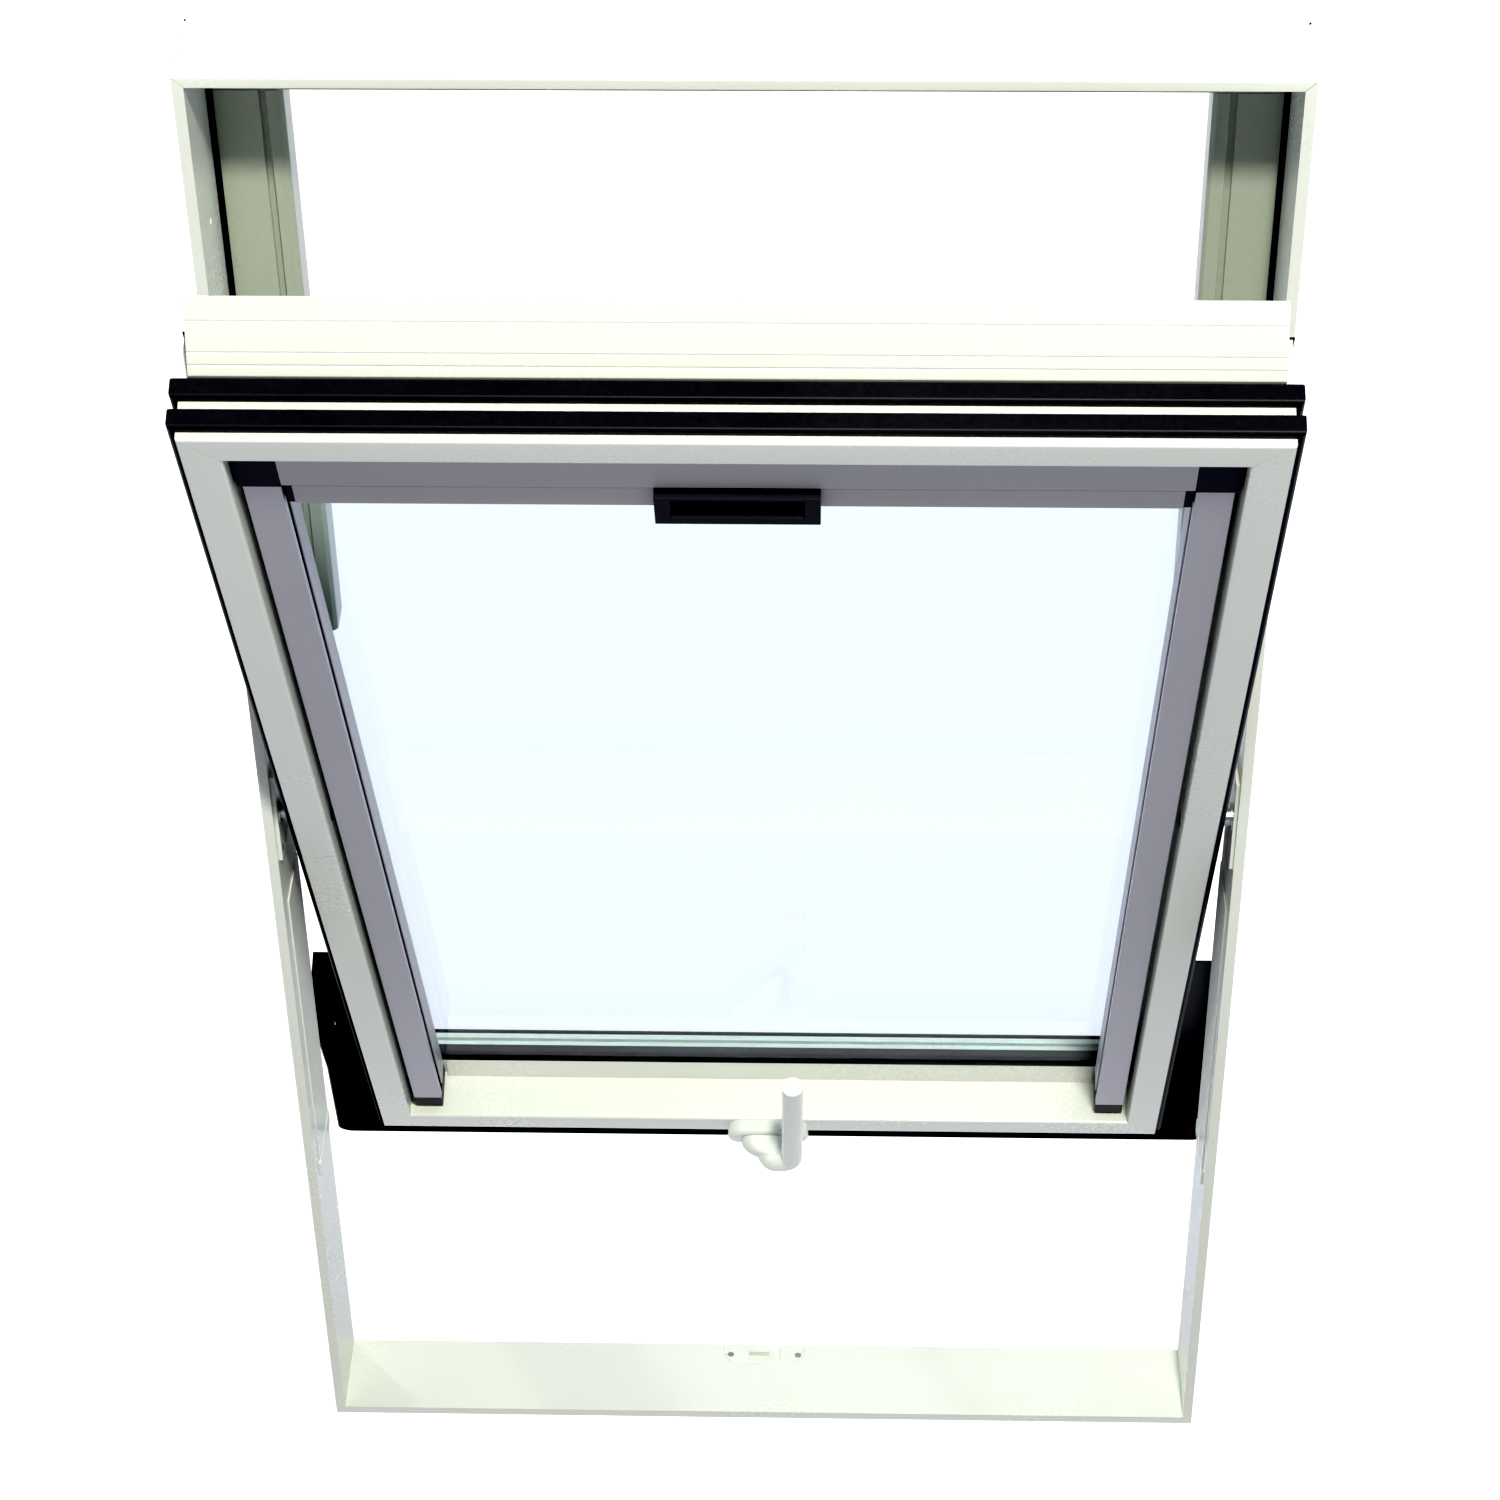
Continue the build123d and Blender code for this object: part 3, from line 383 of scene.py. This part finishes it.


# --- upper stops and jamb linings -----------------------------------------------------
# Grooved PVC shoulders behind the upper half of the frame, which the closed sash meets,
# and thin lining strips that hide the pivot fixings below.
# Painted shade: the stops are the same white PVC as the frame, given a darker grey-green base colour
# that stands in for the fill light their recess behind the lip blocks.
stop_pvc_painted_shade = finish_material(
    "white_pvc_stop_painted_shade", light=(0.47, 0.50, 0.41), dark=(0.41, 0.44, 0.36), rough=0.34,
    relief=die_lines, relief_depth=0.00001, run=(0, -90, 0), coat=0.15,
)
for node in ("upper_stop_left", "upper_stop_right", "upper_stop_top"):
    eased(node, stop_pvc_painted_shade, 0.0006)
for node in ("jamb_cover_strips", "jamb_cover_end_clips"):
    eased(node, pvc_upright, 0.0003)


# --- rubber seals ---------------------------------------------------------------------
# Black EPDM: two lipped gaskets round the sash, a bulb in the corner of the stops and a
# wedge round the glass.
epdm = finish_material(
    "black_epdm", light=(0.030, 0.028, 0.035), dark=(0.018, 0.017, 0.023), rough=0.42,
    relief=grain, relief_depth=0.00006, relief_size=900.0, run=(TILT, 0, 0), rough_spread=0.12,
    broad=6.0, specular=0.16,
)
for node in ("gasket_front", "gasket_rear"):
    eased(node, epdm, 0.0008, segments=3)
eased("stop_gasket", epdm, 0.0003)
eased("glazing_gasket", epdm, 0.0002)
finish_node("edge_seal", epdm)


# --- glass ----------------------------------------------------------------------------
# Two clear panes, 4 mm thick and 16 mm apart, on an aluminium spacer with breather
# holes, held on plastic setting blocks.
glass = bpy.data.materials.new("window_glass")
glass.use_nodes = True
tree = glass.node_tree
pane = tree.nodes["Principled BSDF"]
pane.inputs["Base Color"].default_value = (0.90, 0.94, 0.98, 1)
pane.inputs["Roughness"].default_value = 0.0
pane.inputs["IOR"].default_value = 1.12
pane.inputs["Transmission Weight"].default_value = 1.0
clear = tree.nodes.new("ShaderNodeBsdfTransparent")
clear.inputs["Color"].default_value = (0.93, 0.95, 0.96, 1)
path = tree.nodes.new("ShaderNodeLightPath")
through = tree.nodes.new("ShaderNodeMixShader")
tree.links.new(path.outputs["Is Shadow Ray"], through.inputs["Fac"])
tree.links.new(pane.outputs[0], through.inputs[1])
tree.links.new(clear.outputs[0], through.inputs[2])
tree.links.new(through.outputs[0], tree.nodes["Material Output"].inputs["Surface"])
for node in ("inner_pane", "outer_pane"):
    finish_node(node, glass)

mill_aluminium = finish_material(
    "mill_aluminium", light=(0.62, 0.63, 0.64), dark=(0.52, 0.53, 0.55), rough=0.35,
    relief=die_lines, relief_depth=0.00004, metal=1.0, run=(TILT, 0, 0),
)
moulded_grey = finish_material(
    "moulded_grey_plastic", light=(0.30, 0.30, 0.32), dark=(0.25, 0.25, 0.27), rough=0.5,
    relief=grain, relief_depth=0.00005,
)
finish_node("setting_blocks", moulded_grey)
finish_node("hinge_bushes", moulded_grey)


# --- dark aluminium outside -----------------------------------------------------------
# Folded sheet with a dark powder coat: covers over the frame, and the sash's cladding,
# which wraps round the outside of the lower frame when the window is shut.
powder_coat = finish_material(
    "dark_powder_coat", light=(0.020, 0.020, 0.024), dark=(0.013, 0.013, 0.016), rough=0.36,
    relief=grain, relief_depth=0.00004, relief_size=1100.0, rough_spread=0.08, specular=0.3,
)
for node in ("side_covers", "top_hood", "upper_cladding"):
    eased(node, powder_coat, 0.0002)
for node in ("lower_cladding_left", "lower_cladding_right", "lower_cladding_bottom"):
    eased(node, powder_coat, 0.0003)
charcoal = finish_material(
    "charcoal_plastic", light=(0.034, 0.032, 0.042), dark=(0.024, 0.022, 0.031), rough=0.45,
    relief=grain, relief_depth=0.00008, relief_size=1500.0, specular=0.25,
)
eased("cladding_corners", charcoal, 0.0003)
finish_node("spacer_bar", charcoal)


# --- hinges and latch -----------------------------------------------------------------
# Zinc-plated steel pins, screws, spindle, latch bar, crank, gearbox case and reinforcements,
# with faint rolling lines; a white coat on the keeper and frame hinge plates, a black coat on
# the sash hinge plates.
zinc = finish_material(
    "zinc_plate", light=(0.62, 0.62, 0.60), dark=(0.48, 0.49, 0.52), rough=0.38,
    relief=die_lines, relief_depth=0.00003, metal=1.0, broad=30.0, fine=500.0,
)
for node in (
    "hinge_pins", "sash_hinge_screws", "hinge_plate_screws", "keeper_screws", "handle_spindle", "latch_crank", "latch_gearbox_case",
    "sash_steel_reinforcements",
):
    finish_node(node, zinc)
for node in ("latch_bar", "latch_pin"):
    eased(node, zinc, 0.0003)
white_coat = finish_material(
    "white_coated_keeper", light=PVC_LIGHT, dark=PVC_DARK, rough=0.3, relief=grain,
    relief_depth=0.00002, coat=0.2,
)
eased("latch_keeper", white_coat, 0.0003)
eased("hinge_plates", white_coat, 0.0002)
black_coat = finish_material(
    "black_coated_hinge", light=(0.035, 0.034, 0.040), dark=(0.025, 0.024, 0.030), rough=0.4,
    relief=grain, relief_depth=0.00002,
)
eased("sash_hinge_plates", black_coat, 0.0002)


# --- handle ---------------------------------------------------------------------------
# A gloss white lever cranked to the right of its spindle, on an oval cover.
gloss_white = finish_material(
    "gloss_white_handle", light=(0.84, 0.86, 0.80), dark=(0.81, 0.83, 0.78), rough=0.18,
    relief=grain, relief_depth=0.00001, coat=0.5, rough_spread=0.04,
)
eased("handle_rosette", gloss_white, 0.0004)
eased("handle_lever", gloss_white, 0.0008, segments=3)


# --- roller blind ---------------------------------------------------------------------
# Satin aluminium headbox, side channels and pull bar, charcoal end caps and grip, and
# a light grey woven cloth on its tube.
satin_across = finish_material(
    "satin_aluminium_rail", light=(0.52, 0.51, 0.515), dark=(0.42, 0.41, 0.415), rough=0.42,
    relief=die_lines, relief_depth=0.00001, metal=0.35, run=(TILT, 0, 0), fine=900.0, fine_share=0.6,
)
satin_upright = finish_material(
    "satin_aluminium_channel", light=(0.56, 0.55, 0.585), dark=(0.48, 0.47, 0.50), rough=0.42,
    relief=die_lines, relief_depth=0.00001, metal=0.35, run=(TILT, -90, 0), fine=900.0, fine_share=0.6,
)
for node in ("blind_headbox", "blind_pull_bar"):
    eased(node, satin_across, 0.0004)
for node in ("blind_channel_left", "blind_channel_right"):
    eased(node, satin_upright, 0.0004)
for node in ("blind_end_cap_left", "blind_end_cap_right", "channel_foot_caps", "blind_grip"):
    eased(node, charcoal, 0.0005)
finish_node("pull_bar_guides", charcoal)
finish_node("blind_roller_tube", mill_aluminium)

cloth = finish_material(
    "blackout_cloth", light=(0.62, 0.62, 0.62), dark=(0.55, 0.55, 0.55), rough=0.8,
    relief=grain, relief_depth=0.0001, relief_size=2200.0, run=(TILT, 0, 0),
)
finish_node("blind_fabric_roll", cloth)
finish_node("blind_fabric_strip", cloth)


# --- sizes --------------------------------------------------------------------------
import json
